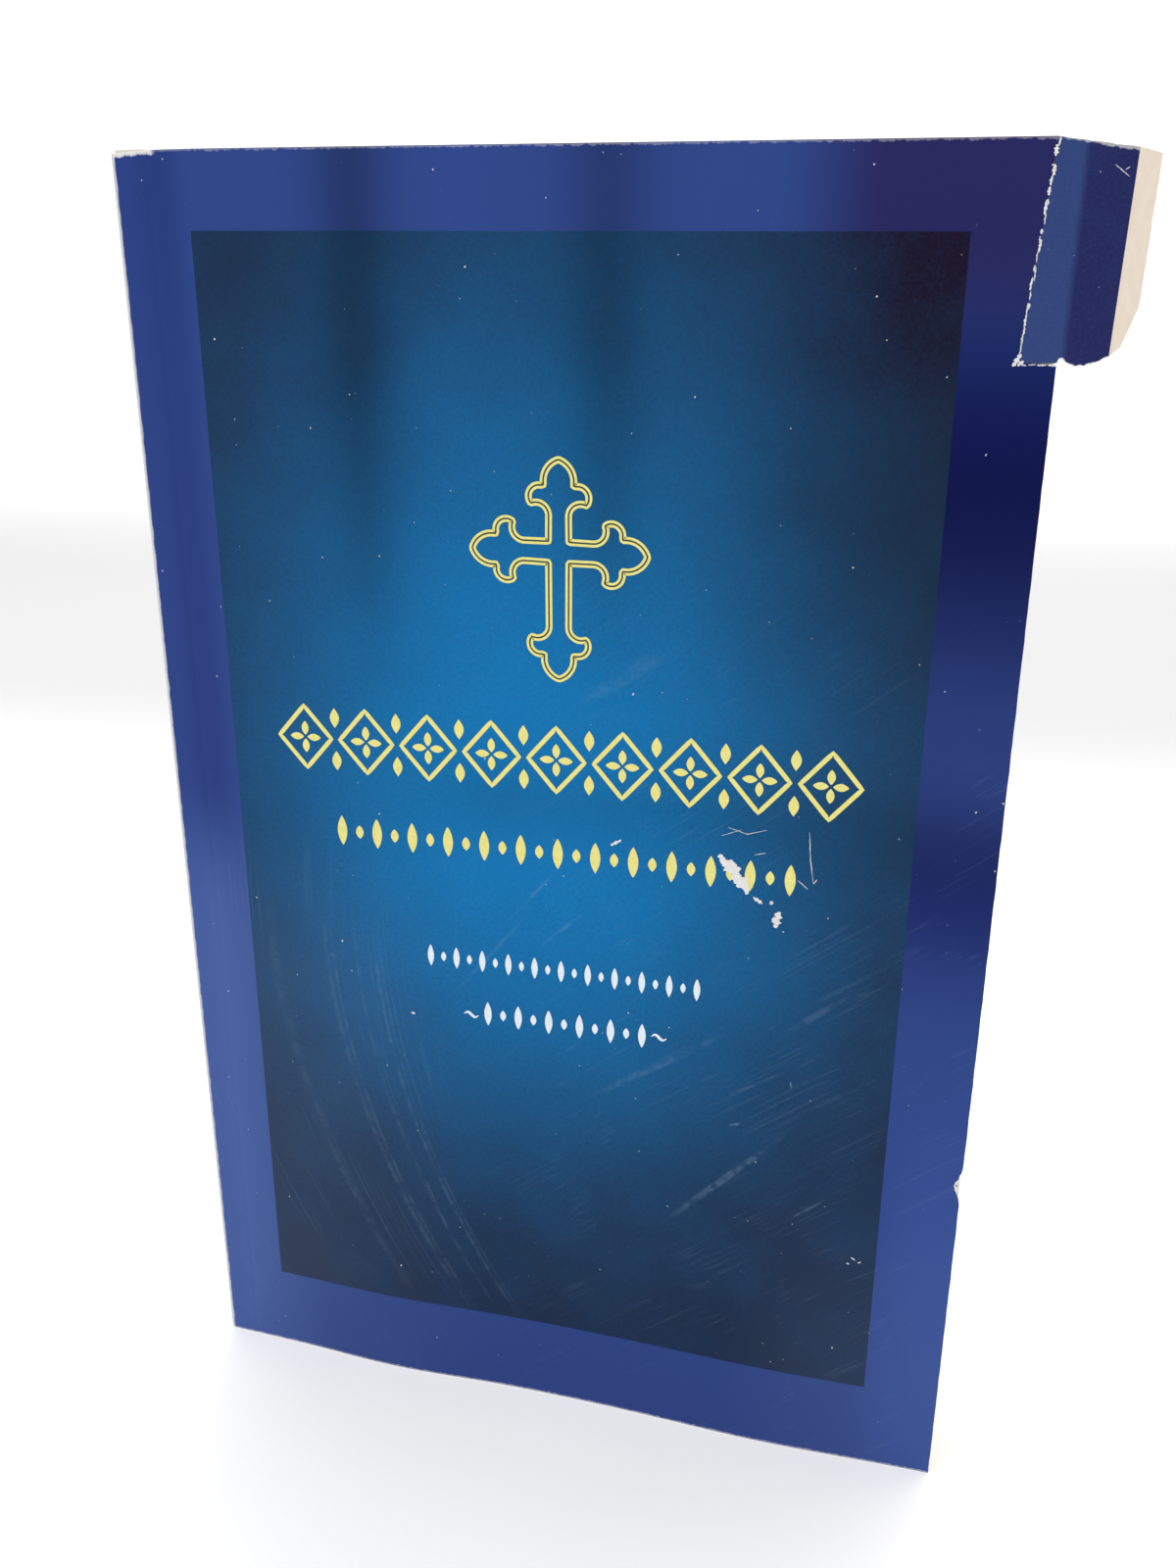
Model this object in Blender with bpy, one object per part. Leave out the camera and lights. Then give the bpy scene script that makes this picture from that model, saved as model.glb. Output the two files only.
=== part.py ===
"""Paperback devotional book, standing on its tail edge. Metres, +Z up.

The front cover faces -Y, the spine is at -X and the fore-edge at +X. The origin is the middle of
the footprint, on the surface that the book stands on. The card cover is one sheet, split here where
it really bends: at its two score lines and at the crease of the unfolded top corner. The leaves are
grouped into signatures, each turning about a line near the gutter.
"""

import math

import bmesh
import bpy
from mathutils import Vector

# Driving dimensions
TRIM_WIDTH = 0.1365  # spine to trimmed fore-edge
TRIM_HEIGHT = 0.2159  # tail to head
CARD = 0.0003  # thickness of the cover card
SIGNATURES = 24
SIGNATURE_THICK = 0.0003
GAP = 0.0003  # clearance kept around everything that moves
FILM_GAP = 0.0002  # clearance kept around the adhesive films
FILM = 0.0002  # thickness of the side adhesive
SPINE_GLUE = 0.0004  # thickness of the adhesive behind the spine
SPINE_BEND = 0.0006  # outer radius where the card turns round the spine
SCORE = 0.0060  # spine edge to the score line that a cover hinges on
FIRST_TURN = 0.0075  # spine edge to the line that the outermost signature turns on
TURN_STEP = 0.00087  # how much further out each inner neighbour turns

# Unfolded corner: it was turned in when the book was trimmed, so it stands past the fore-edge
CREASE_LOW = (0.1316, 0.1887)
CREASE_HIGH = (0.1337, TRIM_HEIGHT)
FOLD_X = 0.1373  # where the unsupported part starts to lean back
LEAN = math.radians(9)
TAB_TIP = 0.1463
TAB_TAIL = [  # lower edge of the corner, from the crease out to the tip
    (0.1366, 0.1892),
    (FOLD_X, 0.1888),
    (0.1387, 0.1885),
    (0.1407, 0.1888),
    (0.1429, 0.1898),
    (0.1441, 0.1909),
    (0.1449, 0.1932),
    (0.1457, 0.1957),
    (TAB_TIP, 0.1984),
]
TAB_HEAD = [  # upper edge of the corner, at the crease, the fold and the tip
    CREASE_HIGH,
    (FOLD_X, 0.2153),
    (TAB_TIP, 0.2140),
]
CHIP = [(0.0, 0.0570), (-0.0007, 0.0590), (-0.0004, 0.0625), (0.0, 0.0640)]  # nick in the fore-edge

# Derived sizes
PITCH = SIGNATURE_THICK + GAP
BLOCK_HALF = (SIGNATURES * PITCH - GAP) / 2
CARD_INNER = BLOCK_HALF + FILM_GAP + FILM + FILM_GAP
CARD_OUTER = CARD_INNER + CARD
GLUE_START = CARD + FILM_GAP
ROOT_START = GLUE_START + SPINE_GLUE + FILM_GAP
CENTRE_X = TAB_TIP / 2

BLUE = (0.045, 0.060, 0.230)
DEEP_BLUE = (0.030, 0.040, 0.180)
PAGE = (0.800, 0.740, 0.620)
ROOT = (0.760, 0.700, 0.580)
GLUE = (0.720, 0.640, 0.440)


def clear_scene():
    for item in list(bpy.data.objects):
        bpy.data.objects.remove(item, do_unlink=True)


def finish(name, colour, roughness):
    """A plain material for one sub-part."""
    made = bpy.data.materials.new(name)
    made.use_nodes = True
    shader = made.node_tree.nodes["Principled BSDF"]
    shader.inputs["Base Color"].default_value = (*colour, 1.0)
    shader.inputs["Roughness"].default_value = roughness
    shader.inputs["Metallic"].default_value = 0.0
    return made


def place(name, mesh, origin, material):
    """An object whose origin is the given point, from a mesh in book coordinates, where x runs
    from the spine."""
    shift = Vector(origin)
    for vert in mesh.verts:
        vert.co -= shift
    bmesh.ops.recalc_face_normals(mesh, faces=mesh.faces)
    data = bpy.data.meshes.new(name)
    mesh.to_mesh(data)
    mesh.free()
    data.materials.append(material)
    made = bpy.data.objects.new(name, data)
    made.location = shift - Vector((CENTRE_X, 0, 0))
    bpy.context.scene.collection.objects.link(made)
    return made


def swept(points, path):
    """A closed prism: the face through the points, extruded along path."""
    mesh = bmesh.new()
    face = mesh.faces.new([mesh.verts.new(point) for point in points])
    grown = bmesh.ops.extrude_face_region(mesh, geom=[face], use_keep_orig=True)
    moved = [item for item in grown["geom"] if isinstance(item, bmesh.types.BMVert)]
    bmesh.ops.translate(mesh, verts=moved, vec=path)
    return mesh


def upright(outline):
    """A prism over the book's full height, from an outline of (x, y) seen from above."""
    return swept([(x, y, 0.0) for x, y in outline], (0, 0, TRIM_HEIGHT))


def sheet(outline, outer_y, thickness):
    """A flat card, from an outline of (x, z) seen from the front."""
    return swept([(x, outer_y, z) for x, z in outline], (0, thickness, 0))


def arc(centre, radius, start, end, steps):
    """Points on an arc from start to end, in degrees."""
    angles = [math.radians(start + (end - start) * step / steps) for step in range(steps + 1)]
    return [(centre[0] + radius * math.cos(a), centre[1] + radius * math.sin(a)) for a in angles]


def front_cover():
    """The front panel, from its score line to the fore-edge, with the corner cut out along the
    crease and the tear below it."""
    nick = [(TRIM_WIDTH + dx, z) for dx, z in CHIP]
    outline = [(SCORE + GAP / 2, 0.0), (TRIM_WIDTH, 0.0), *nick]
    outline += [(TRIM_WIDTH, CREASE_LOW[1]), CREASE_LOW, CREASE_HIGH]
    outline += [(SCORE + GAP / 2, TRIM_HEIGHT)]
    hinge = (SCORE, -CARD_OUTER - GAP / 2, 0.0)
    place("front_cover", sheet(outline, -CARD_OUTER, CARD), hinge, finish("printed_card", BLUE, 0.22))


def back_cover():
    """The back panel, a plain rectangle hinged on its own score line."""
    inner = SCORE + GAP / 2
    outline = [(inner, 0.0), (TRIM_WIDTH, 0.0), (TRIM_WIDTH, TRIM_HEIGHT), (inner, TRIM_HEIGHT)]
    hinge = (SCORE, CARD_OUTER + GAP / 2, 0.0)
    place("back_cover", sheet(outline, CARD_INNER, CARD), hinge, finish("back_card", BLUE, 0.22))


def spine_wrap():
    """The part of the cover that is glued to the block: the spine and a strip on each side."""
    edge = SCORE - GAP / 2
    centre = SPINE_BEND
    inner_bend = SPINE_BEND - CARD
    outer = [(edge, -CARD_OUTER)]
    outer += arc((centre, -CARD_OUTER + centre), SPINE_BEND, 270, 180, 4)
    outer += arc((centre, CARD_OUTER - centre), SPINE_BEND, 180, 90, 4)
    outer += [(edge, CARD_OUTER)]
    inner = [(edge, CARD_INNER)]
    inner += arc((centre, CARD_OUTER - centre), inner_bend, 90, 180, 4)
    inner += arc((centre, -CARD_OUTER + centre), inner_bend, 180, 270, 4)
    inner += [(edge, -CARD_INNER)]
    place("spine_wrap", upright(outer + inner), (0, 0, 0), finish("spine_card", DEEP_BLUE, 0.25))


def corner_flap():
    """The unfolded corner: flat as far as the fold, then leaning back away from the cover."""

    def outer_y(x):
        return -CARD_OUTER + max(0.0, x - FOLD_X) * math.tan(LEAN)

    def head_z(x):
        ends = zip(TAB_HEAD, TAB_HEAD[1:])
        (x0, z0), (x1, z1) = next(pair for pair in ends if x <= pair[1][0])
        return z0 + (z1 - z0) * (x - x0) / (x1 - x0)

    # The crease leans, so its top is further out than the first points of the lower edge.
    start_low = (CREASE_LOW[0] + GAP, CREASE_LOW[1] + GAP)
    start_high = (CREASE_HIGH[0] + GAP, CREASE_HIGH[1])
    low = [start_low, *TAB_TAIL]
    high = [start_high, *[(x, head_z(x)) for x, _ in TAB_TAIL]]
    mesh = bmesh.new()
    rows = []
    for depth in (0.0, CARD):
        for edge in (low, high):
            rows.append([mesh.verts.new((x, outer_y(x) + depth, z)) for x, z in edge])
    front_low, front_high, back_low, back_high = rows
    for near, far in ((front_low, front_high), (back_high, back_low), (front_high, back_high)):
        for a, b, c, d in zip(near, near[1:], far[1:], far):
            mesh.faces.new((a, b, c, d))
    for a, b, c, d in zip(back_low, back_low[1:], front_low[1:], front_low):
        mesh.faces.new((a, b, c, d))
    mesh.faces.new((front_low[0], front_high[0], back_high[0], back_low[0]))
    mesh.faces.new((front_low[-1], back_low[-1], back_high[-1], front_high[-1]))
    hinge = (CREASE_LOW[0], -CARD_OUTER - GAP / 2, CREASE_LOW[1])
    place("corner_flap", mesh, hinge, finish("creased_card", DEEP_BLUE, 0.25))


def turn_line(index):
    """Where a signature turns, seen from above: each lies further out than its outer neighbour by
    more than a pitch, so that turned signatures stand side by side."""
    from_face = min(index, SIGNATURES - 1 - index)
    return FIRST_TURN + from_face * TURN_STEP, -BLOCK_HALF + SIGNATURE_THICK / 2 + index * PITCH


def signature(index, material):
    """A group of leaves, with a round root about its turning line."""
    x, y = turn_line(index)
    half = SIGNATURE_THICK / 2
    outline = arc((x, y), half, 90, 270, 8) + [(TRIM_WIDTH, y - half), (TRIM_WIDTH, y + half)]
    place(f"signature_{index + 1:02d}", upright(outline), (x, y, 0), material)


def leaf_roots():
    """The glued roots of all the leaves, stepped to clear the signatures' turning lines."""
    reach = SIGNATURE_THICK / 2 + GAP
    front = [(ROOT_START, -BLOCK_HALF)]
    for index in range(SIGNATURES // 2):
        x, y = turn_line(index)
        front += [(x - reach, y - SIGNATURE_THICK / 2), (x - reach, y + reach)]
    front[-1] = (front[-1][0], 0.0)
    back = [(x, -y) for x, y in reversed(front[:-1])]
    place("leaf_roots", upright(front + back), (0, 0, 0), finish("leaf_roots", ROOT, 0.9))


def adhesive():
    """Hot-melt behind the spine, and a film under each glued strip of the cover."""
    glue = finish("hot_melt", GLUE, 0.45)
    spine = [
        (GLUE_START, -BLOCK_HALF),
        (GLUE_START + SPINE_GLUE, -BLOCK_HALF),
        (GLUE_START + SPINE_GLUE, BLOCK_HALF),
        (GLUE_START, BLOCK_HALF),
    ]
    place("spine_glue", upright(spine), (0, 0, 0), glue)
    near, far = BLOCK_HALF + FILM_GAP, BLOCK_HALF + FILM_GAP + FILM
    film_end = SCORE - GAP
    for name, side in (("front_side_glue", -1), ("back_side_glue", 1)):
        film = [(ROOT_START, side * near), (film_end, side * near)]
        film += [(film_end, side * far), (ROOT_START, side * far)]
        place(name, upright(film), (0, 0, 0), glue)


def build():
    clear_scene()
    front_cover()
    corner_flap()
    spine_wrap()
    back_cover()
    adhesive()
    leaf_roots()
    page = finish("page", PAGE, 0.9)
    for index in range(SIGNATURES):
        signature(index, page)


build()
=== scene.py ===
import math

import bmesh
import bpy
import numpy as np
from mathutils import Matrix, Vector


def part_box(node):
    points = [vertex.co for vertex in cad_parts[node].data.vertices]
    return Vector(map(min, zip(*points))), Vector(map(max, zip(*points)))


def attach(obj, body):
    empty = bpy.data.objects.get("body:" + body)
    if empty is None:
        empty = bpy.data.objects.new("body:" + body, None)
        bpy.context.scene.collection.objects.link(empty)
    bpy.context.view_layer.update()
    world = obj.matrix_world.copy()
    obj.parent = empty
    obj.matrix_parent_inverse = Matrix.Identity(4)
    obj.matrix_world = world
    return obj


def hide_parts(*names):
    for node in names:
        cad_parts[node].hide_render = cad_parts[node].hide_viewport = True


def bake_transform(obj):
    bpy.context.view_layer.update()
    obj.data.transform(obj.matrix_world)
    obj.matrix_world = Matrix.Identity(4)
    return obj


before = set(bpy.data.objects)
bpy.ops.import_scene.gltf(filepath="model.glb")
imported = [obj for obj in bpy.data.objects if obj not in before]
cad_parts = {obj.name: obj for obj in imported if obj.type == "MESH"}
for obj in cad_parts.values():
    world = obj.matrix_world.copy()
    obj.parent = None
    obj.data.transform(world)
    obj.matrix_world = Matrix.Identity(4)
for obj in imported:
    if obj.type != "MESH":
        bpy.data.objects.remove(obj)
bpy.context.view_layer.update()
print("frame loaded:", len(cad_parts), "nodes")

# Lengths are in millimetres of the closed book: x from the spine, y from the middle of the
# leaves towards the back cover, z up from the tail. toFrame puts them in the frame's metres.
mm = 0.001
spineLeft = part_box("spine_wrap")[0].x / mm
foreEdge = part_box("front_cover")[1].x / mm - spineLeft
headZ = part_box("front_cover")[1].z / mm
coverFace = -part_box("front_cover")[0].y / mm
cardThick = 0.3
scoreX = 6.0
spineBend = 0.6
spineLength = 2 * (coverFace - spineBend) + math.pi * spineBend
sharpAngle = 40  # in degrees; gentler edges are shaded smooth


def toFrame(points):
    # millimetres from the spine to metres in the frame: a shift along x, then a scale
    return (np.asarray(points, float) + [spineLeft, 0, 0]) * mm


def rough(t, seed, pitch=1.0):
    # a ragged line between about -1 and 1: six sines, each finer and lower than the last
    draws = np.random.default_rng(seed)
    order = np.arange(6)
    waves = np.sin(np.multiply.outer(np.asarray(t, float), pitch * 1.9**order)
                   + draws.uniform(0, 2 * math.pi, 6))
    return (waves / 1.45**order).sum(-1) / 2


def jitter(number, seed, pitch):
    # the height of such a line at a whole number, for differences from one piece to the next
    return float(rough(number, seed, pitch))


def along(points, t):
    # a place on a broken line: t from 0 to 1 goes evenly by length from its first point to its last
    points = np.asarray(points, float)
    length = np.concatenate([[0], np.cumsum(np.linalg.norm(np.diff(points, axis=0), axis=1))])
    return np.stack([np.interp(t * length[-1], length, column) for column in points.T], -1)


def slab(outer, inner, flat=None, loop=False):
    # a closed sheet: the cells of an outer and an inner grid, and a wall round the open edges;
    # loop joins the last row to the first. flat is the place on the unbent sheet, for patterns
    rows, cols = outer.shape[:2]
    top = np.arange(rows * cols).reshape(rows, cols)
    if loop:
        top = np.vstack([top, top[:1]])
    low = top + rows * cols
    cells = [np.stack([grid[:-1, :-1], grid[:-1, 1:], grid[1:, 1:], grid[1:, :-1]], -1).reshape(-1, 4)
             for grid in (top, low)]
    edges = [(top[:, 0], low[:, 0]), (top[:, -1], low[:, -1])]
    if not loop:
        edges += [(top[0], low[0]), (top[-1], low[-1])]
    walls = np.concatenate([np.stack([a[:-1], a[1:], b[1:], b[:-1]], -1) for a, b in edges])
    flat = outer if flat is None else flat
    return (
        np.concatenate([outer.reshape(-1, 3), inner.reshape(-1, 3)]),
        np.concatenate([*cells, walls]),
        np.repeat([0, 1, 2], [len(cells[0]), len(cells[1]), len(walls)]),
        np.concatenate([flat.reshape(-1, 3)] * 2),
    )


def flatPlace(x, z, layer=0.0):
    # the place on the unbent sheet; layer tells one sheet's pattern from another's
    return np.stack([x, z, np.full_like(x, layer)], -1)


def makePiece(name, slabs, materials):
    # joins closed sheets into one mesh; the three materials go to outer face, inner face and edge
    starts = np.cumsum([0] + [len(points) for points, *_ in slabs[:-1]])
    points, faces, kinds, flats = zip(*slabs)
    mesh = bpy.data.meshes.new(name)
    mesh.from_pydata(toFrame(np.concatenate(points)).tolist(), [],
                     np.concatenate([cells + start for cells, start in zip(faces, starts)]).tolist())
    mesh.polygons.foreach_set("material_index", np.concatenate(kinds).astype(np.int32))
    attribute = mesh.attributes.new("flat", "FLOAT_VECTOR", "POINT")
    attribute.data.foreach_set("vector", np.concatenate(flats).astype(np.float32).ravel())
    shell = bmesh.new()
    shell.from_mesh(mesh)
    bmesh.ops.recalc_face_normals(shell, faces=shell.faces)
    shell.to_mesh(mesh)
    shell.free()
    mesh.polygons.foreach_set("use_smooth", np.ones(len(mesh.polygons), bool))
    mesh.set_sharp_from_angle(angle=math.radians(sharpAngle))
    for material in materials:
        mesh.materials.append(material)
    made = bpy.data.objects.new(name, mesh)
    bpy.context.scene.collection.objects.link(made)
    return made


class Wire:
    # a socket that can be added, subtracted and multiplied; each operation adds a Math node
    def __init__(self, tree, socket):
        self.tree, self.socket = tree, socket

    def node(self, kind, settings=None, inputs=None, output=0):
        # any node: its settings first, then a value or a link for each socket
        made = self.tree.nodes.new(kind)
        for key, value in (settings or {}).items():
            setattr(made, key, value)
        for key, value in (inputs or {}).items():
            if isinstance(value, Wire):
                self.tree.links.new(value.socket, made.inputs[key])
            else:
                made.inputs[key].default_value = value
        return Wire(self.tree, made.outputs[output])

    def maths(self, operation, *others, clamp=False):
        # a Math node on this wire and the others; clamp keeps the result between 0 and 1
        return self.node("ShaderNodeMath", {"operation": operation, "use_clamp": clamp},
                         dict(enumerate((self, *others))))

    def __add__(self, other):
        return self.maths("ADD", other)

    def __sub__(self, other):
        return self.maths("SUBTRACT", other)

    def __mul__(self, other):
        return self.maths("MULTIPLY", other)

    def __rsub__(self, other):
        return self.node("ShaderNodeMath", {"operation": "SUBTRACT"}, {0: other, 1: self})

    __radd__ = __add__

    def ramp(self, low, high):
        # 0 below low, 1 above high, smooth between; low may be the higher of the two
        return self.node("ShaderNodeMapRange", {"interpolation_type": "SMOOTHSTEP"},
                         {0: self, 1: low, 2: high, 3: 0.0, 4: 1.0})

    def band(self, low, high, soft):
        # 1 between low and high, 0 outside, with edges as wide as soft
        return self.ramp(low - soft, low + soft) * self.ramp(high + soft, high - soft)

    def bell(self, middle, width):
        # a bell curve of height 1: e to the power of minus the square of the distance over width
        away = (self - middle) * (1 / width)
        return (away * away * -1.0).maths("EXPONENT")

    def bells(self, rows):
        # several bells added up: the middle, width and height of each
        return total([self.bell(middle, width) * height for middle, width, height in rows])

    def mixed(self, first, second):
        # first where this wire is 0, second where it is 1
        return self.node("ShaderNodeMix", {"data_type": "RGBA"}, {0: self, 6: first, 7: second}, 2)

    def scaled(self, factor):
        # a colour or a place times a number
        return self.node("ShaderNodeVectorMath", {"operation": "SCALE"}, {0: self, 3: factor})

    def stretched(self, size, turn=0.0, middle=(0.0, 0.0, 0.0)):
        # measured from middle, along axes turned by turn, in units of size
        return self.node("ShaderNodeMapping", {"vector_type": "TEXTURE"},
                         {"Vector": self, "Scale": size, "Rotation": (0.0, 0.0, turn), "Location": middle})

    def noise(self, scale, detail=3.0, roughness=0.5):
        # smooth noise between 0 and 1, mostly near 0.5; detail adds finer layers
        return self.node("ShaderNodeTexNoise", None,
                         {"Vector": self, "Scale": scale, "Detail": detail, "Roughness": roughness})

    def part(self, which):
        # one number of a place
        return self.node("ShaderNodeSeparateXYZ", None, {0: self}, which)

    def joined(self, x, y, z):
        # a place made of three numbers
        return self.node("ShaderNodeCombineXYZ", None, {0: x, 1: y, 2: z})

    def bump(self, strength, distance):
        # fine relief with this wire as its height; distance is in metres
        return self.node("ShaderNodeBump", None,
                         {"Strength": strength, "Distance": distance, "Height": self})


def total(wires):
    # the wires added up, from first to last
    return sum(wires[1:], wires[0])


def limited(wire):
    # kept between 0 and 1
    return wire.maths("ADD", 0.0, clamp=True)


def ink(red, green, blue):
    # a colour given as it looks, from 0 to 255, turned into the linear light that shaders use
    seen = np.array([red, green, blue]) / 255
    linear = np.where(seen <= 0.04045, seen / 12.92, ((seen + 0.055) / 1.055) ** 2.4)
    return (*linear.tolist(), 1.0)


def newMaterial(name, build, **fixed):
    # build takes the flat place on the sheet and returns the sockets that vary over it; fixed
    # holds the values that are the same all over
    material = bpy.data.materials.new(name)
    material.use_nodes = True
    tree = material.node_tree
    shader = next(node for node in tree.nodes if node.type == "BSDF_PRINCIPLED")
    place = tree.nodes.new("ShaderNodeAttribute")
    place.attribute_name = "flat"
    for key, value in fixed.items():
        shader.inputs[key.replace("_", " ")].default_value = value
    for key, value in build(Wire(tree, place.outputs["Vector"])).items():
        if isinstance(value, Wire):
            tree.links.new(value.socket, shader.inputs[key])
        else:
            shader.inputs[key].default_value = value
    return material


panelInk = {
    "left": 12.3, "right": 124.1, "tail": 16.4, "head": 204.8, "edge": 0.05,
    # the glow: its middle, and its reach across, up and down
    "glowX": 64.0, "glowZ": 118.0, "glowWide": 45.0, "glowUp": 71.0, "glowDown": 58.0,
    "glowTurn": 4, "falloff": 1.2, "mottle": 0.20, "grain": 0.8, "grainLeast": 0.18,
    "glow": ink(8, 109, 168), "dusk": ink(24, 41, 68),
    "corner": ink(22, 12, 36), "cornerX": (92, 118), "cornerZ": (172, 196),
    # painted reflections: soft upright dark streaks near the head, and a lighter one: place across, width,
    # depth
    "reflectionStreaks": [(38, 6, 0.42), (76, 6, 0.36)], "lighter": [(54, 8, 0.05)], "reflectionZ": (125, 185),
    # painted shade, darker towards the fore-edge: height, spread, depth
    "shades": [(168, 26, 0.40), (112, 12, 0.12)], "shadeX": (80, 122),
    "dimZ": (120, 7), "dimX": (34, 60), "dim": 0.18,
}
borderInk = {
    # the paler blue is the colour of the painted highlight on the front border, and of the paler tail of the
    # spine
    "blue": ink(42, 64, 126), "lightBlue": ink(62, 87, 150), "deep": ink(2, 15, 86),
    "violet": ink(36, 35, 88), "pale": ink(50, 74, 140),
    # where each tint fades in, across and up
    # the first pair places the painted highlight on the film, at the tail and the spine side
    "highlightX": (26, 0), "highlightZ": (118, 92), "paleX": (116, 134), "paleZ": (92, 40),
    "spineX": (6, 2.5), "spinePale": 0.5,
    # painted shade towards the fore-edge: where it starts, and its two heights
    "deepX": (108, 124), "deepHigh": (173, 27), "deepLow": (112, 15), "lowDepth": 0.7,
    "besideX": (13, 8), "besideZ": (100, 122), "beside": 0.28,
    "violetX": (98, 114), "violetZ": (188, 204),
}
wearInk = {
    "core": ink(226, 223, 218), "haze": ink(150, 172, 204), "scratch": ink(150, 178, 206),
    # long single scratches: middle x and z, turn in degrees, half length, half width, strength
    "strokes": [
        (97.6, 54.5, 47, 17.0, 0.9, 0.16), (86.0, 75.0, 35, 16.0, 1.0, 0.10),
        (102.6, 74.3, 33, 6.0, 0.5, 0.12), (111.0, 88.0, 40, 8.0, 0.8, 0.08),
        (69.6, 98.2, 43, 7.0, 0.5, 0.10), (63.5, 102.5, 50, 8.0, 0.4, 0.10),
        (56.5, 91.3, 51, 12.0, 0.5, 0.07), (112.0, 51.3, 40, 6.0, 0.4, 0.12),
        (79.5, 141.8, 33, 11.0, 1.6, 0.05), (99.2, 65.8, 20, 1.2, 0.35, 0.5),
        (108.1, 74.9, 100, 0.9, 0.25, 0.4), (45.0, 40.0, 112, 9.0, 0.35, 0.08),
    ],
    # sweeping scratches on x = start + bow * (top - z) squared: start, half width, strength
    "sweeps": [(26.4, 0.5, 0.07), (27.6, 0.25, 0.08), (32.0, 0.4, 0.05), (35.6, 0.35, 0.09),
               (36.6, 0.2, 0.07), (16.0, 0.8, 0.05)],
    "sweepTop": 96.0, "sweepBow": 0.0040, "sweepZ": (20, 92, 8),
    # veils of streaks: turn in degrees, width, fade across and up, strength
    "leftVeil": (90, 0.45, (62, 34), (118, 95), 0.05),
    "rightVeil": (38, 0.6, (44, 76), (178, 120), 0.035), "swirl": 16.0,
    # haze: fade across and up, strength
    "hazes": [((60, 12), (116, 80), 0.042), ((96, 118), (60, 22), 0.030)],
}


def streaks(place, turn, layer, width):
    # fine parallel scratches: noise drawn out along one direction, only its crests kept,
    # in patches where a second, broad noise is high
    lines = place.stretched((45.0, width, 1.0), turn, (0.0, 0.0, layer)).noise(1.0, 2.0, 0.6)
    patches = place.stretched((28.0, 14.0, 1.0), turn, (0.0, 0.0, layer * 3)).noise(1.0, 2.0)
    return lines.ramp(0.54, 0.68) * patches.ramp(0.46, 0.62)


def strokeMark(flat, midX, midZ, turn, length, width, strength):
    # one stroke: a soft ellipse, full inside 0.3 of its size and gone at its rim
    away = flat.stretched((length, width, 0.4), math.radians(turn), (midX, midZ, 0.0))
    reach = away.node("ShaderNodeVectorMath", {"operation": "LENGTH"}, {0: away}, 1)
    return reach.ramp(1.0, 0.3) * strength


def veil(place, layer, x, z, turn, width, across, up, strength):
    # fine streaks on part of the sheet only
    return streaks(place, math.radians(turn), layer, width) * x.ramp(*across) * z.ramp(*up) * strength


def scratchMarks(flat, x, z):
    # single strokes and long bowed sweeps, broken up by noise, and two veils of fine streaks, one
    # that follows the sweeps and one that swirls a little
    broken = flat.noise(0.3, 3.0, 0.6).ramp(0.38, 0.62)
    drop = z - wearInk["sweepTop"]
    bowed = x - drop * drop * wearInk["sweepBow"]
    onFront = z.band(*wearInk["sweepZ"]) * flat.part(2).ramp(0.6, 0.4)
    strokes = [strokeMark(flat, *stroke) for stroke in wearInk["strokes"]]
    sweeps = [bowed.bell(start, width) * onFront * strength for start, width, strength in wearInk["sweeps"]]
    marks = total(strokes + sweeps) * (broken * 0.8 + 0.1)
    left = veil(flat.joined(bowed, z, flat.part(2)), 3.0, x, z, *wearInk["leftVeil"])
    drift = flat.stretched((60.0, 60.0, 1.0)).noise(1.0, 1.0).scaled(wearInk["swirl"])
    swirled = flat.node("ShaderNodeVectorMath", {"operation": "ADD"}, {0: flat, 1: drift})
    return limited(marks + left + veil(swirled, 11.0, x, z, *wearInk["rightVeil"]))


def borderBlue(flat, x, z):
    # the border blue: paler towards the tail and the spine side, partly a painted highlight on the film,
    # deeper towards the fore-edge as painted shade and deeper beside the spine, more violet at the head; each
    # tint is a ramp across times one up
    tint = borderInk
    fine = flat.noise(2.2, 2.0) - 0.5
    # painted highlight on the film: paler towards the tail and the spine side
    lightBlue = x.ramp(*tint["highlightX"]) * z.ramp(*tint["highlightZ"]) + fine * 0.06
    pale = x.ramp(*tint["paleX"]) * z.ramp(*tint["paleZ"]) + x.ramp(*tint["spineX"]) * tint["spinePale"]
    # painted shade: deeper towards the fore-edge, at two heights
    deep = x.ramp(*tint["deepX"]) * (z.bell(*tint["deepHigh"]) + z.bell(*tint["deepLow"]) * tint["lowDepth"])
    beside = x.ramp(*tint["besideX"]) * z.ramp(*tint["besideZ"]) * tint["beside"]
    colour = limited(lightBlue).mixed(tint["blue"], tint["lightBlue"])
    colour = limited(pale).mixed(colour, tint["pale"])
    colour = limited(deep).mixed(colour, tint["deep"])
    colour = limited(beside).mixed(colour, tint["deep"])
    return (x.ramp(*tint["violetX"]) * z.ramp(*tint["violetZ"])).mixed(colour, tint["violet"])


def panelGlow(flat, x, z):
    # dark corners and a bright middle: e to minus a power of the squared distance over the reach,
    # roughened by a broad mottle and a fine grain
    tint = panelInk
    upper = z.ramp(tint["glowZ"] - tint["glowTurn"], tint["glowZ"] + tint["glowTurn"])
    height = upper * (1 / tint["glowUp"]) + (1 - upper) * (1 / tint["glowDown"])
    across = (x - tint["glowX"]) * (1 / tint["glowWide"])
    up = (z - tint["glowZ"]) * height
    glow = ((across * across + up * up).maths("POWER", tint["falloff"]) * -1.0).maths("EXPONENT")
    mottle = flat.noise(0.07, 3.0) - 0.5
    grain = (flat.noise(1.5, 4.0, 0.8) - 0.5) * (glow * tint["grain"] + tint["grainLeast"])
    dusk = (x.ramp(*tint["cornerX"]) * z.ramp(*tint["cornerZ"])).mixed(tint["dusk"], tint["corner"])
    return limited(glow + mottle * tint["mottle"] + grain).mixed(dusk, tint["glow"])


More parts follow.
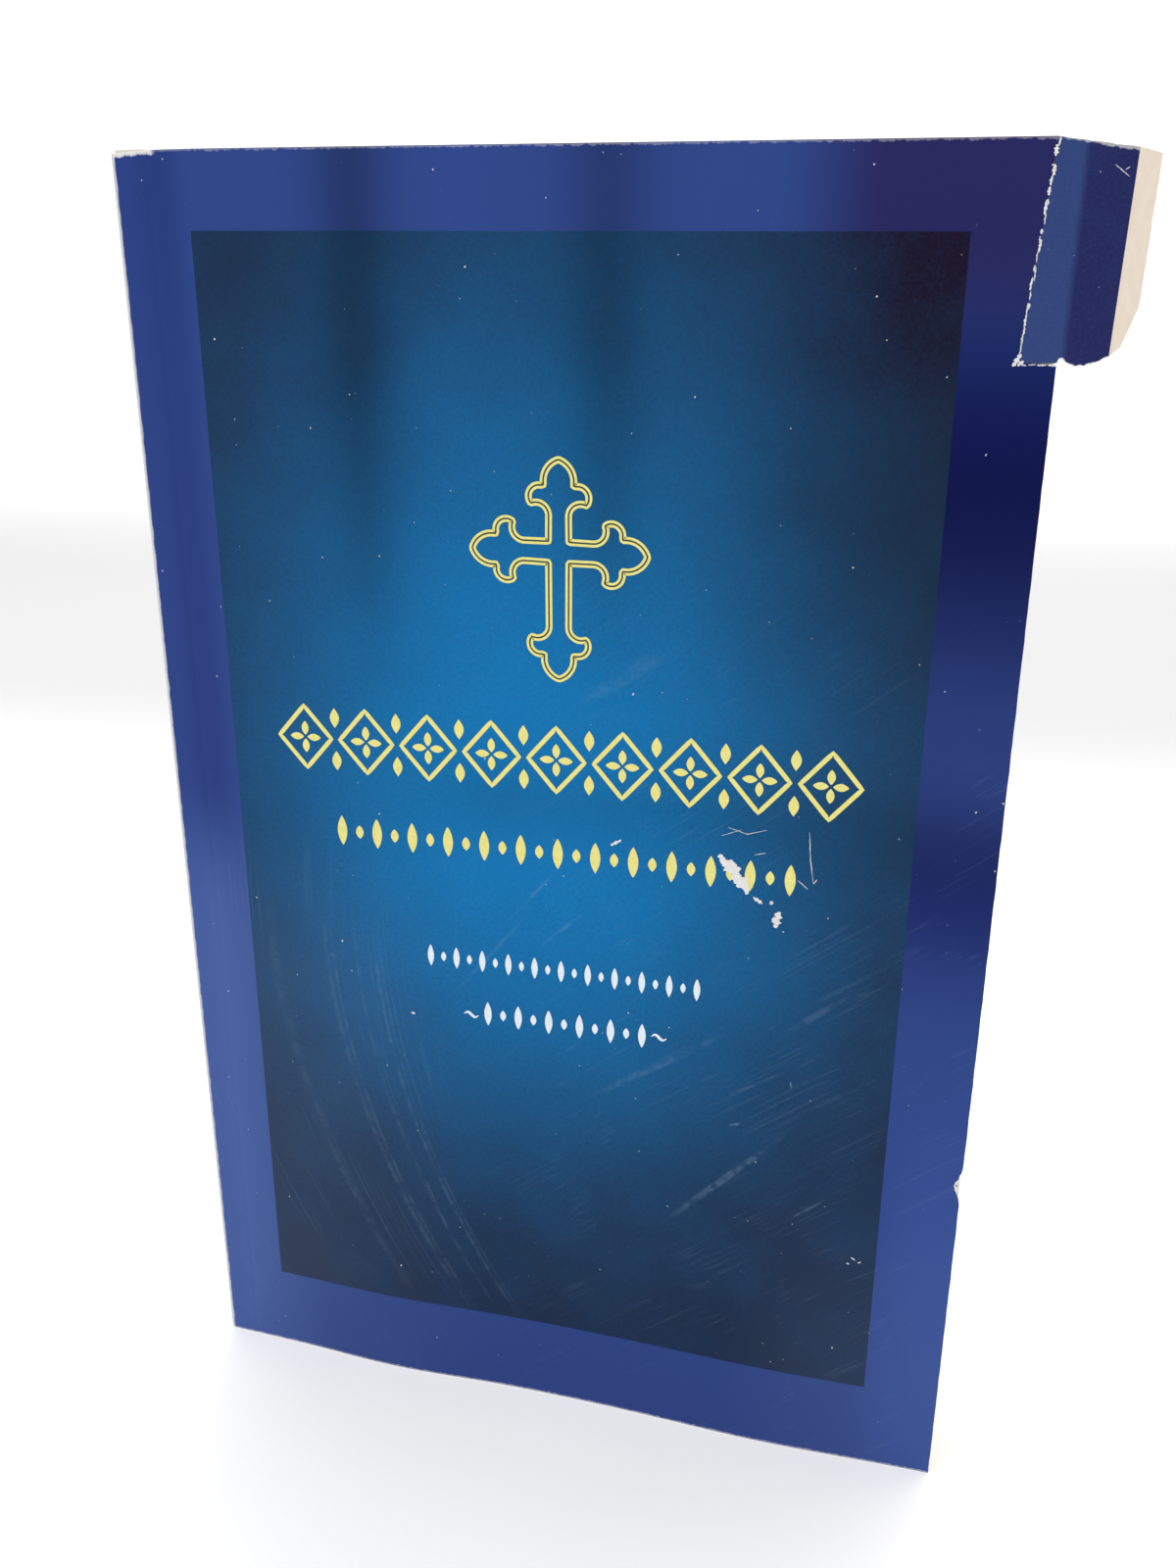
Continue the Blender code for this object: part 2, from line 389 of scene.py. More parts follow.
def filmFinish(flat, colour, marks, haze, bare):
    # what lies over the print: haze, scratches, bare card, and the gloss and relief that go with them
    fine = flat.noise(1.8, 2.0) - 0.5
    colour = haze.mixed(colour, wearInk["haze"])
    colour = marks.mixed(colour, wearInk["scratch"])
    colour = bare.mixed(colour, wearInk["core"])
    relief = fine * 0.3 + flat.noise(0.35, 2.0) * 0.5
    return {"Base Color": colour,
            "Roughness": 0.30 + haze * 0.8 + marks * 0.5 + bare * 0.4 + fine * 0.05,
            "Normal": relief.bump(0.25, 0.00005), "Coat Weight": 0.05 - bare * 0.04}


def specks(flat):
    # rare pale specks: only the highest crests of a small noise
    return flat.stretched((0.75, 0.9, 1.0)).noise(1.0, 1.0).ramp(0.79, 0.815) * 0.7


def raggedEdge(flat, size, reach):
    # how far a rubbed edge wanders, in millimetres: noise drawn out along the edge
    return (flat.stretched(size).noise(1.5, 3.0) - 0.5) * reach


def coverPrint(flat):
    # a blue border round the glowing panel, darkened by painted reflection streaks near the head, by painted
    # shade towards the fore-edge and by a darker band across the middle, hazed where it is handled, and
    # rubbed to bare card at the spine side, the tail and the head
    x, z = flat.part(0), flat.part(1)
    tint = panelInk
    panel = (x.band(tint["left"], tint["right"], tint["edge"])
             * z.band(tint["tail"], tint["head"], tint["edge"]))
    colour = panel.mixed(borderBlue(flat, x, z), panelGlow(flat, x, z))
    # painted reflections: dark upright streaks near the head, where the gloss of the wavy cover would show,
    # less one lighter streak
    reflectionStreaks = z.ramp(*tint["reflectionZ"]) * (x.bells(tint["reflectionStreaks"]) - x.bells(tint["lighter"]))
    # painted shade: darker towards the fore-edge, and a darker band across the middle
    shade = (x.ramp(*tint["shadeX"]) * z.bells(tint["shades"])
             + x.ramp(*tint["dimX"]) * z.bell(*tint["dimZ"]) * tint["dim"])
    colour = colour.scaled((1 - reflectionStreaks) * (1 - shade))
    cloud = flat.noise(0.04, 3.0) * 0.8 + 0.6
    haze = total([x.ramp(*across) * z.ramp(*up) * depth for across, up, depth in wearInk["hazes"]]) * cloud
    edge = raggedEdge(flat, (1.0, 3.5, 1.0), 0.9)
    rubbed = total([
        (x + edge * 0.6).ramp(0.90, 0.62) * 0.55,
        (z + edge).ramp(0.45, 0.20) * 0.4,
        (z - edge).ramp(215.5, 215.75) * 0.2,
        (z - edge * 0.8).ramp(215.15, 215.45) * (x + edge * 5).ramp(7.5, 6.0) * 0.75,
    ])
    return filmFinish(flat, colour, scratchMarks(flat, x, z), haze, limited(specks(flat) + rubbed))


def spinePrint(flat):
    # the border blue carried over the spine, rubbed to bare card along both bends
    x, z = flat.part(0), flat.part(1)
    edge = raggedEdge(flat, (1.0, 3.5, 1.0), 0.7)
    rubbed = (1 - (x + edge).band(0.9, spineLength - 0.9, 0.2)) * 0.7
    fineLines = streaks(flat, math.radians(84), 5.0, 0.4) * 0.12
    colour = limited(z.ramp(120, 20) * 0.6).mixed(borderInk["blue"], borderInk["lightBlue"])
    return filmFinish(flat, colour, fineLines, z.ramp(60, 0) * 0.03, limited(specks(flat) + rubbed))


def insideCard(flat):
    # uncoated board: warm white with a soft fibre cloud
    fibre = flat.stretched((0.7, 2.8, 1.0)).noise(1.0, 4.0, 0.6)
    cloud = flat.noise(0.04, 3.0)
    colour = (fibre * 0.5 + cloud * 0.5).mixed(ink(214, 202, 186), ink(232, 222, 208))
    return {"Base Color": colour, "Roughness": 0.72 + fibre * 0.15, "Normal": fibre.bump(0.3, 0.00004)}


def tornCore(flat):
    # the white middle of the card where it is torn or rubbed: short loose fibres
    fibre = flat.stretched((0.12, 0.4, 0.3), 0.6).noise(1.0, 4.0, 0.7)
    colour = fibre.mixed(ink(186, 186, 188), ink(244, 242, 238))
    return {"Base Color": colour, "Roughness": 0.85, "Normal": fibre.bump(0.6, 0.0001)}


def flapPrint(flat):
    # the border blue as far as the bleed line and bare cream card past it; the same blue is painted paler on
    # the strip between the crease and the soft fold and painted darker past the fold, as painted light and
    # shade where the corner leans back, and the head edge is rubbed
    x, z = flat.part(0), flat.part(1)
    bleedX, bleedZ = flap["bleedLow"]
    bare = (x - (z - bleedZ) * flap["bleedLean"]).ramp(bleedX - 0.04, bleedX + 0.04)
    fine = flat.noise(2.2, 2.0) - 0.5
    cloud = flat.noise(0.25, 3.0) - 0.5
    # painted light and shade: one blue, paler before the soft fold and darker past it
    beyond = limited(x.ramp(flap["foldX"] - 0.7, flap["foldX"] + 0.5) + cloud * 0.3)
    colour = beyond.mixed(flap["nearBlue"], flap["farBlue"])
    edge = raggedEdge(flat, (1.2, 1.2, 1.0), 0.9)
    rubbed = (z - edge + (x - 134) * 0.17).ramp(215.6, 215.9) * 0.5
    cream = flat.stretched((0.8, 2.8, 1.0)).noise(1.0, 4.0).mixed(ink(212, 198, 181), ink(226, 214, 198))
    finish = filmFinish(flat, colour, limited(fine * 0.04), fine * 0.02 + 0.01,
                        limited(specks(flat) + rubbed))
    finish["Base Color"] = bare.mixed(finish["Base Color"], cream)
    finish["Roughness"] = finish["Roughness"] + bare * 0.4
    finish["Coat Weight"] = 0.05 - bare * 0.05
    return finish


def goldInk(flat):
    # pale yellow ink: noise between a duller tone where it is thin and a brighter one
    laid = flat.noise(1.1, 3.0)
    return {"Base Color": laid.mixed(ink(208, 200, 104), ink(230, 224, 142)), "Roughness": 0.4 + laid * 0.1}


def evenInk(thin, full, roughness):
    # an ink that lies more evenly: noise between its tones where it is thin and full
    return lambda flat: {"Base Color": flat.noise(1.5, 2.0).mixed(thin, full), "Roughness": roughness}


def pagePaper(flat):
    # soft cream book paper with two columns of grey bars that stand for lines of reading matter: a
    # bar where the part of z over the line pitch is in its middle third, broken up by noise
    x, z = flat.part(0), flat.part(1)
    fibre = flat.stretched((0.6, 1.4, 1.0)).noise(1.0, 3.0, 0.6)
    colour = fibre.mixed(ink(236, 229, 212), ink(248, 243, 231))
    lines = z * (1 / page["linePitch"])
    row = lines.maths("FRACT").band(0.30, 0.62, 0.06)
    gaps = flat.joined(x * 0.45, lines.maths("FLOOR") * 3.7, flat.part(2)).noise(1.0, 1.0).ramp(0.42, 0.47)
    columns = x.band(*page["firstColumn"], 0.3) + x.band(*page["secondColumn"], 0.3)
    block = z.band(page["footZ"], page["topZ"], 0.4)
    colour = (row * gaps * columns * block * 0.55).mixed(colour, ink(92, 88, 84))
    return {"Base Color": colour, "Roughness": 0.78 + fibre * 0.1, "Normal": fibre.bump(0.2, 0.00003)}


def pageEdge(flat):
    # cut edges: each leaf a touch lighter or darker than the next, a little handled grey
    leaf = flat.stretched((900.0, 900.0, 0.37)).noise(1.0, 2.0).ramp(0.3, 0.7)
    grime = flat.stretched((25.0, 25.0, 12.0)).noise(1.0, 3.0)
    colour = (leaf * 0.7 + grime * 0.3).mixed(ink(196, 185, 160), ink(250, 245, 232))
    return {"Base Color": colour, "Roughness": 0.8}


def meltGlue(flat):
    # cloudy hot glue, nearly white, with a slow swirl; object places, as these pieces stay as packed
    swirl = flat.node("ShaderNodeTexCoord", output="Object").noise(220.0, 3.0)
    return {"Base Color": swirl.mixed(ink(214, 206, 186), ink(236, 230, 214)),
            "Roughness": 0.35 + swirl * 0.2, "Normal": swirl.bump(0.3, 0.0001)}


flap = {
    "creaseLow": (131.57, 188.64), "creaseHigh": (133.70, 215.87),
    "tearEdge": [(131.57, 188.64), (133.6, 188.75), (136.4, 188.85), (136.7, 189.5), (138.0, 188.6),
                 (139.4, 188.5), (140.7, 188.8), (142.0, 189.2), (142.85, 189.8), (144.1, 190.9)],
    "outerEdge": [(144.1, 190.9), (144.9, 193.2), (145.7, 195.7), (145.85, 198.4), (146.0, 206.0),
                  (146.2, 213.9)],
    "headEdge": [(133.70, 215.87), (137.7, 215.3), (143.4, 214.6), (146.2, 213.9)],
    # each edge: how far it wanders, how far its line is drawn out, seed and pitch
    "tearRag": (0.10, 12, 21, 1.6), "headRag": (0.06, 10, 22, 1.5),
    "creaseRag": (0.08, 27, 23, 1.2), "outerRag": (0.05, 24, 24, 0.9),
    "foldX": 137.3, "lean": math.radians(9), "foldSoft": 0.35,
    "bleedLow": (142.84, 189.8), "bleedLean": 0.0239,
    # one printed blue: painted light before the soft fold and painted shade past it
    "nearBlue": ink(44, 61, 112), "farBlue": ink(28, 33, 84),
}
page = {
    "firstX": 1.1, "foreEdge": 136.1, "tail": 0.15, "head": 215.6, "pitch": 0.075, "thick": 0.062,
    "perSignature": 8, "signatures": 24, "firstTurn": 7.5, "turnStep": 0.87, "trim": 0.12,
    # start and end of the close columns round a leaf's turning line, and the depth of that line
    "bendFrom": -2, "bendTo": 8, "bendDepth": 0.3,
    "linePitch": 3.1, "firstColumn": (16.0, 68.0), "secondColumn": (73.0, 125.0),
    "footZ": 17.0, "topZ": 198.0,
}

gloss = {"Specular_IOR_Level": 0.05, "Coat_Roughness": 0.12}
coverInk = newMaterial("printed_card_cover", coverPrint, **gloss)
spineInk = newMaterial("printed_card_spine", spinePrint, **gloss)
flapInk = newMaterial("printed_card_flap", flapPrint, **gloss)
cardInside = newMaterial("card_inside", insideCard, Specular_IOR_Level=0.2)
cardCore = newMaterial("card_core", tornCore, Specular_IOR_Level=0.15)
gold = newMaterial("pale_gold_ink", goldInk, Specular_IOR_Level=0.3)
darkLine = newMaterial("dark_line_ink", evenInk(ink(24, 40, 56), ink(60, 66, 60), 0.45),
                       Specular_IOR_Level=0.3)
white = newMaterial("white_ink", evenInk(ink(196, 210, 222), ink(230, 236, 240), 0.42),
                    Specular_IOR_Level=0.3)
paper = newMaterial("book_paper", pagePaper, Specular_IOR_Level=0.15)
paperEdge = newMaterial("book_paper_edge", pageEdge, Specular_IOR_Level=0.15)
glue = newMaterial("hot_glue", meltGlue, Specular_IOR_Level=0.3)
print("finishes made")

cover = {
    # soft waves at the tail: place across, width, height
    "waves": [(36.0, 17.0, 1.2), (106.0, 20.0, 0.9)], "waveFade": 60.0,
    "shoulder": 0.2, "shoulderWide": 3.5, "score": 0.08, "scoreWide": 0.35,
    "crush": 0.65, "crushWide": 4.0, "crushFrom": 196, "crushTall": 20,
    "nickZ": 60.5, "nickTall": 2.6, "nickDeep": 0.8, "tearZ": 188.7,
    "edgeColumns": 8, "hingeStart": 5.0, "hingeEnd": 7.0,
}


def coverRise(x, z):
    # how far the card stands out from flat: two soft waves that die away upwards, a shoulder that
    # falls back beside the spine, and the pressed score line
    waves = sum(rise * np.exp(-(((x - at) / wide) ** 2)) for at, wide, rise in cover["waves"])
    return (waves * np.exp(-z / cover["waveFade"]) - cover["shoulder"] * np.exp(-x / cover["shoulderWide"])
            - cover["score"] * np.exp(-(((x - scoreX) / cover["scoreWide"]) ** 2)))


def onCover(x, z, lift=0.0):
    # the front cover's outer face, moved out by lift
    return np.stack([x, -(coverFace + coverRise(x, z) + lift), z], -1)


def creaseX(z):
    # the straight crease of the corner, as x at a height
    low, high = flap["creaseLow"], flap["creaseHigh"]
    return low[0] + (z - low[1]) * (high[0] - low[0]) / (high[1] - low[1])


def frontEdge(z):
    # the fore-edge with its nick, and above the tear the line of the crease
    nick = cover["nickDeep"] * np.exp(-(((z - cover["nickZ"]) / cover["nickTall"]) ** 4))
    nick = nick * (0.8 + 0.35 * rough(z, 5, 1.3))
    whole = foreEdge - 0.05 - nick + 0.04 * rough(z, 6, 0.7)
    return np.where(z < cover["tearZ"], whole, creaseX(z) - 0.02 + 0.1 * rough(z, 7, 1.1))


def backEdge(z):
    # the back cover's fore-edge: whole and nearly straight
    return foreEdge - 0.05 + 0.03 * rough(z, 8, 0.7)


def coverGrid(edge):
    # rows up the book and columns from the spine bend to the fore-edge, the last of which follow
    # the edge line; closer where the card bends, is nicked or torn
    columns = np.concatenate([np.arange(spineBend, 9, 0.3), np.arange(9, 131, 1.6)])
    rows = np.concatenate([np.arange(0, 55.5, 1.5), np.arange(55.5, 66, 0.3), np.arange(66, 188, 1.5),
                           [188.55, 188.8], np.arange(189.5, headZ - 0.5, 1.2), [headZ]])
    last = cover["edgeColumns"]
    closing = columns[-1] + (edge(rows)[:, None] - columns[-1]) * np.linspace(1 / last, 1, last)
    x = np.hstack([np.tile(columns, (len(rows), 1)), closing])
    return x, np.repeat(rows[:, None], x.shape[1], axis=1)


def dropped(x, z):
    # the head corner beside the spine is crushed: the head edge dips towards x = 0
    rise = np.clip((z - cover["crushFrom"]) / cover["crushTall"], 0, 1)
    return z - cover["crush"] * np.exp(-x / cover["crushWide"]) * rise**2


x, z = coverGrid(frontEdge)
outer = onCover(x, z)
outer[..., 2] = dropped(x, z)
frontSheet = slab(outer, outer + [0, cardThick, 0], flatPlace(x, z))
frontCard = makePiece("front_card", [frontSheet], [coverInk, cardInside, cardCore])
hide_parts("front_cover")
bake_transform(frontCard)

x, z = coverGrid(backEdge)
outer = onCover(x, z) * [1, -1, 1]
backSheet = slab(outer, outer - [0, cardThick, 0], flatPlace(x, z, 1.0))
backCard = makePiece("back_card", [backSheet], [coverInk, cardInside, cardCore])
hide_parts("back_cover")
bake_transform(backCard)

wrap = {"bendPoints": 9, "backPoints": 12, "rows": 60, "shoulderZ": 200.0}
shoulderY = coverFace + float(coverRise(np.array(spineBend), np.array(wrap["shoulderZ"])))


def spineProfile(radius):
    # seen from above: a quarter circle at each side of the spine and a straight back between
    turn = np.linspace(0, math.pi / 2, wrap["bendPoints"])
    bendX = spineBend - radius * np.sin(turn)
    bendY = -(shoulderY - spineBend + radius * np.cos(turn))
    middle = np.linspace(bendY[-1], -bendY[-1], wrap["backPoints"] + 2)[1:-1]
    return np.stack([np.concatenate([bendX, np.full(wrap["backPoints"], bendX[-1]), bendX[::-1]]),
                     np.concatenate([bendY, middle, -bendY[::-1]])], -1)


def carriedUp(line):
    # the profile repeated at every row up the book, its head crushed like the covers' corners
    x, z = np.meshgrid(line[:, 0], np.linspace(0, headZ, wrap["rows"]))
    return np.stack([x, np.tile(line[:, 1], (wrap["rows"], 1)), dropped(x, z)], -1)


outerLine, innerLine = spineProfile(spineBend), spineProfile(spineBend - cardThick)
length = np.concatenate([[0], np.cumsum(np.linalg.norm(np.diff(outerLine, axis=0), axis=1))])
x, z = np.meshgrid(length, np.linspace(0, headZ, wrap["rows"]))
spineSheet = slab(carriedUp(outerLine), carriedUp(innerLine), flatPlace(x, z, 2.0))
spineCard = makePiece("spine_card", [spineSheet], [spineInk, cardInside, cardCore])
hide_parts("spine_wrap")
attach(spineCard, "spine")
print("covers made")


def raggedSide(points, t, rag, across):
    # an edge line that wanders and comes back at its ends: left and right, or up and down
    wander, drawn, seed, pitch = rag
    shift = wander * rough(t * drawn, seed, pitch) * np.sin(math.pi * t) ** 0.3
    return along(points, t) + np.stack([shift, 0 * t] if across else [0 * t, shift], -1)


def cornerPatch(s, t):
    # a Coons patch: the sheet that four ragged edge lines bound, blended across and up, less the
    # part of its corners that both blends count
    tear = raggedSide(flap["tearEdge"], s, flap["tearRag"], False)
    head = raggedSide(flap["headEdge"], s, flap["headRag"], False)
    crease = raggedSide([flap["creaseLow"], flap["creaseHigh"]], t, flap["creaseRag"], True)
    outerSide = raggedSide(flap["outerEdge"], t, flap["outerRag"], True)
    s, t = s[..., None], t[..., None]
    corners = ((1 - s) * (1 - t) * np.array(flap["creaseLow"]) + s * (1 - t) * np.array(flap["tearEdge"][-1])
               + (1 - s) * t * np.array(flap["creaseHigh"]) + s * t * np.array(flap["headEdge"][-1]))
    return (1 - t) * tear + t * head + (1 - s) * crease + s * outerSide - corners


def flapLean(x):
    # how far the corner leans back: nothing up to the soft fold, then a steady slope past it
    past = np.clip((x - flap["foldX"]) / flap["foldSoft"], -30, 30)
    return math.tan(flap["lean"]) * flap["foldSoft"] * np.log1p(np.exp(past))


def onFlap(x, z, lift=0.0):
    # the corner's outer face, moved out by lift
    return np.stack([x, flapLean(x) - coverFace - coverRise(x, z) - lift, z], -1)


corner = cornerPatch(*np.meshgrid(np.linspace(0, 1, 70), np.linspace(0, 1, 110)))
x, z = corner[..., 0], corner[..., 1]
cornerSheet = slab(onFlap(x, z), onFlap(x, z) + [0, cardThick, 0], flatPlace(x, z))
flapCard = makePiece("corner_card", [cornerSheet], [flapInk, cardInside, cardCore])
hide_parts("corner_flap")
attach(flapCard, "corner_flap")


def onSpine(x, z, lift=0.0):
    # the flat back of the spine: x runs across it from the front cover's side
    return np.stack([0 * x - lift, x - coverFace, z], -1)


def ribbon(path, left, right=None, lift=0.03, thick=0.05, loop=False, face=onCover):
    # a thin raised strip on a face of the card: the path shifted left and right along its own
    # normal, stood lift above the card with its underside sunk into it
    path = np.asarray(path, float)
    ahead = np.roll(path, -1, 0) - np.roll(path, 1, 0)
    if not loop:
        ahead[0], ahead[-1] = path[1] - path[0], path[-1] - path[-2]
    ahead /= np.linalg.norm(ahead, axis=1)[:, None]
    side = np.stack([-ahead[:, 1], ahead[:, 0]], -1)
    left = np.broadcast_to(left, len(path))[:, None]
    right = left if right is None else np.broadcast_to(right, len(path))[:, None]
    strip = np.stack([path + side * left, path - side * right], 1)
    x, z = strip[..., 0], strip[..., 1]
    return slab(face(x, z, lift), face(x, z, lift - thick), flatPlace(x, z), loop)


tearMarks = {
    "crackCount": 24, "crackDrift": 0.20, "crackWide": 0.10, "crackWiden": 0.10, "crackEnd": 0.998,
    # broken white strips: the two ends and the half width
    "tear": [((131.8, 188.55), (132.7, 188.45), 0.09), ((132.9, 188.5), (133.9, 188.6), 0.06),
             ((134.0, 188.5), (135.2, 188.55), 0.10), ((135.4, 188.55), (136.5, 188.5), 0.12)],
    "tuft": [((131.0, 188.3), (131.9, 189.9), 0.30), ((131.6, 188.4), (132.3, 189.0), 0.24)],
    "tick": [((140.7, 212.6), (142.6, 211.2), 0.05), ((142.0, 212.0), (142.5, 212.3), 0.05)],
    # parts of the torn edge, from 0 at the crease to 1 at the tip, that have loose fibres
    "fringe": [(0.41, 0.47), (0.49, 0.56), (0.59, 0.63), (0.66, 0.75), (0.79, 0.86), (0.88, 0.95)],
    "fringeWide": 0.10, "fringeUp": 0.09, "leastWide": 0.015,
}


def raggedStrip(path, wide, seed, lift=0.03, thick=0.06, face=onCover):
    # a torn strip: both sides uneven, both ends closing
    t = np.linspace(0, 1, len(path))
    close = wide * np.sin(math.pi * (0.03 + 0.94 * t)) ** 0.5
    left, right = (np.maximum(close * (0.9 + 0.6 * rough(t * 14, seed + side, 1.3)), tearMarks["leastWide"])
                   for side in (0, 100))
    return ribbon(path, left, right, lift, thick, face=face)


def crackStrips():
    # short torn strips that follow the crease one after another, each set a little to one side,
    # wider towards the head
    count = tearMarks["crackCount"]
    strips = []
    for number in range(count):
        low = number / count
        high = min(low + (1.1 + 0.8 * jitter(number, 34, 1.7)) / count, tearMarks["crackEnd"])
        path = along([flap["creaseLow"], flap["creaseHigh"]], np.linspace(low, high, 28))
        path[:, 0] += tearMarks["crackDrift"] * jitter(number, 31, 2.3) + 0.05 * rough(path[:, 1] * 3, 32)
        wide = tearMarks["crackWide"] + tearMarks["crackWiden"] * low**2
        wide *= 1 + 0.5 * jitter(number, 35, 3.1)
        strips.append(raggedStrip(path, wide, 200 + number, 0.06, 0.1))
    return strips


def straightStrips(rows, seed, face=onCover):
    # a torn strip for each row of two ends and a half width
    return [raggedStrip(along([start, end], np.linspace(0, 1, 30)), wide, seed + number, face=face)
            for number, (start, end, wide) in enumerate(rows)]


def fringeStrips():
    # loose fibres along the torn lower edge of the corner, just inside the sheet's own edge
    strips = []
    for number, (low, high) in enumerate(tearMarks["fringe"]):
        t = np.linspace(low, high, 24)
        path = cornerPatch(t, 0 * t) + [0, tearMarks["fringeUp"]]
        strips.append(raggedStrip(path, tearMarks["fringeWide"], 300 + number, face=onFlap))
    return strips


crease = makePiece("crease_crack", crackStrips(), [cardCore] * 3)
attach(crease, "front_cover")
torn = straightStrips(tearMarks["tear"], 41) + straightStrips(tearMarks["tuft"], 46)
tear = makePiece("tear_fibres", torn, [cardCore] * 3)
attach(tear, "front_cover")
tick = makePiece("corner_tick", straightStrips(tearMarks["tick"], 44, onFlap), [cardCore] * 3)
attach(tick, "corner_flap")
fringe = makePiece("corner_fringe", fringeStrips(), [cardCore] * 3)
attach(fringe, "corner_flap")
print("torn corner made")

crossShape = {
    "centre": (68.8, 160.2), "scale": 0.958, "stem": 1.65, "footExtra": 6.3, "points": 720,
    # half widths of the gap, of the dark line in it and of the whole band
    "gapHalf": 0.13, "line": 0.13, "band": 0.52, "lineLift": 0.02,
    # arcs of half an arm: middle, radius, first and last angle
    "flare": (3.6, 5.6, 2.0, 180, 65), "lobe": (3.1, 8.5, 1.75, -30, 100),
    "bud": (-1.0, 10.9, 3.45, -10, 73),
}


def arcPoints(x, y, radius, start, end, count=16):
    # points on part of a circle, from a start to an end angle in degrees
    angle = np.radians(np.linspace(start, end, count))
    return np.stack([x + radius * np.cos(angle), y + radius * np.sin(angle)], -1)


def crossOutline():
    # half an arm is a straight stem, a flare, a lobe and the side of a bud; mirrored it makes an arm,
    # and four arms turned a quarter each make the outline, the lowest with a longer stem
    half = np.concatenate([arcPoints(*crossShape[name]) for name in ("flare", "lobe", "bud")])
    inset = [[crossShape["stem"], crossShape["stem"]]]
    outline = []
    for number in range(4):
        arm = np.concatenate([inset, half + [0, crossShape["footExtra"] * (number == 2)]])
        arm = np.concatenate([arm * [-1, 1], arm[-2::-1]])
        quarter = -number * math.pi / 2
        turning = np.array([[math.cos(quarter), math.sin(quarter)], [-math.sin(quarter), math.cos(quarter)]])
        outline.append((arm @ turning)[:-1])
    outline = np.concatenate(outline)
    closed = along(np.vstack([outline, outline[:1]]), np.linspace(0, 1, crossShape["points"] + 1)[:-1])
    return closed * crossShape["scale"] + crossShape["centre"]


outline = crossOutline()
goldLines = [ribbon(outline, crossShape["band"], -crossShape["gapHalf"], loop=True),
             ribbon(outline, -crossShape["gapHalf"], crossShape["band"], loop=True)]
crossBand = makePiece("cross_band", goldLines, [gold] * 3)
middleLine = ribbon(outline, crossShape["line"], lift=crossShape["lineLift"], loop=True)
crossLine = makePiece("cross_line", [middleLine], [darkLine] * 3)
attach(crossBand, "front_cover")
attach(crossLine, "front_cover")

frieze = {
    "titleX": (20.0, 116.6), "titleZ": (121.9, 132.6), "titleCount": 9,
    "titleWide": 0.43, "titleLine": 0.36, "titleFlower": (2.7, 0.62), "titleLeaf": 0.8, "titleGap": 2.0,
    # rows of beads: from and to across, from and to up, how many, half width
    "second": ((31.0, 106.0), (108.6, 113.9), 25, 0.85),
    "third": ((46.0, 92.0), (88.0, 92.0), 21, 0.55),
    "fourth": ((56.0, 83.0), (77.8, 82.3), 11, 0.65),
    "smallTall": 0.45, "smallWide": 0.8,
    "flourishes": [(53.0, 79.5), (85.9, 80.2)], "flourishReach": 2.6,
}


def lozengeRing(x, z, wide, tall, line, face=onCover):
    # the outline of a lozenge as one closed strip
    corners = [(x, z + tall), (x + wide, z), (x, z - tall), (x - wide, z), (x, z + tall)]
    return ribbon(along(corners, np.linspace(0, 1, 41)[:-1]), line, loop=True, face=face)


def leafStrip(start, end, wide, power=1.0, face=onCover):
    # a pointed leaf: a straight strip whose half width is a half sine wave
    t = np.linspace(0, 1, 15)
    half = np.maximum(wide * np.sin(math.pi * t) ** power, 0.01)
    return ribbon(along([start, end], t), half, face=face)


def quatrefoil(x, z, reach, wide, face=onCover):
    # four leaves that point up, right, down and left from a small gap at the middle
    near = reach * 0.12
    return [leafStrip((x + near * dx, z + near * dz), (x + reach * dx, z + reach * dz), wide, 0.8, face)
            for dx, dz in ((0, 1), (1, 0), (0, -1), (-1, 0))]


def titleFrieze():
    # a row of lozenges with a flower in each, and a pair of leaves between neighbours
    low, high = frieze["titleZ"]
    middle, tall = (low + high) / 2, (high - low) / 2
    start, end = frieze["titleX"]
    step = (end - start) / frieze["titleCount"]
    marks = []
    for number in range(frieze["titleCount"]):
        x = start + step * (number + 0.5)
        marks.append(lozengeRing(x, middle, step * frieze["titleWide"], tall, frieze["titleLine"]))
        marks += quatrefoil(x, middle, *frieze["titleFlower"])
        if number:
            edge = x - step / 2
            marks.append(leafStrip((edge, middle + frieze["titleGap"]), (edge, high), frieze["titleLeaf"]))
            marks.append(leafStrip((edge, low), (edge, middle - frieze["titleGap"]), frieze["titleLeaf"]))
    return marks


def beadRow(spanX, spanZ, count, wide):
    # a row of upright leaves, every second one smaller
    middle, tall = sum(spanZ) / 2, (spanZ[1] - spanZ[0]) / 2
    sizes = [(tall, wide), (tall * frieze["smallTall"], wide * frieze["smallWide"])]
    marks = []
    for number, x in enumerate(np.linspace(*spanX, count)):
        reach, half = sizes[number % 2]
        marks.append(leafStrip((x, middle - reach), (x, middle + reach), half, 0.8))
    return marks


def flourish(x, z):
    # one wave of a sine, thickest in the middle
    t = np.linspace(0, 1, 25)
    path = np.stack([x + (t - 0.5) * frieze["flourishReach"], z + 0.42 * np.sin(2 * math.pi * t)], -1)
    return ribbon(path, 0.05 + 0.22 * np.sin(math.pi * t))


titlePiece = makePiece("title_frieze", titleFrieze(), [gold] * 3)
secondPiece = makePiece("second_frieze", beadRow(*frieze["second"]), [gold] * 3)
thirdPiece = makePiece("bead_row", beadRow(*frieze["third"]), [white] * 3)
fourth = [flourish(x, z) for x, z in frieze["flourishes"]] + beadRow(*frieze["fourth"])
fourthPiece = makePiece("flourish_row", fourth, [white] * 3)
for made in (titlePiece, secondPiece, thirdPiece, fourthPiece):
    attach(made, "front_cover")

spineRow = {
    "middle": 7.95, "low": 62.0, "high": 154.0, "count": 9, "lozenge": (2.9, 3.6, 0.22),
    "flower": (1.7, 0.36), "leafHalf": 1.3, "leafWide": 0.45,
    "rules": (20.0, 22.0, 194.0, 196.0), "ruleReach": 5.6, "ruleWide": 0.16,
}


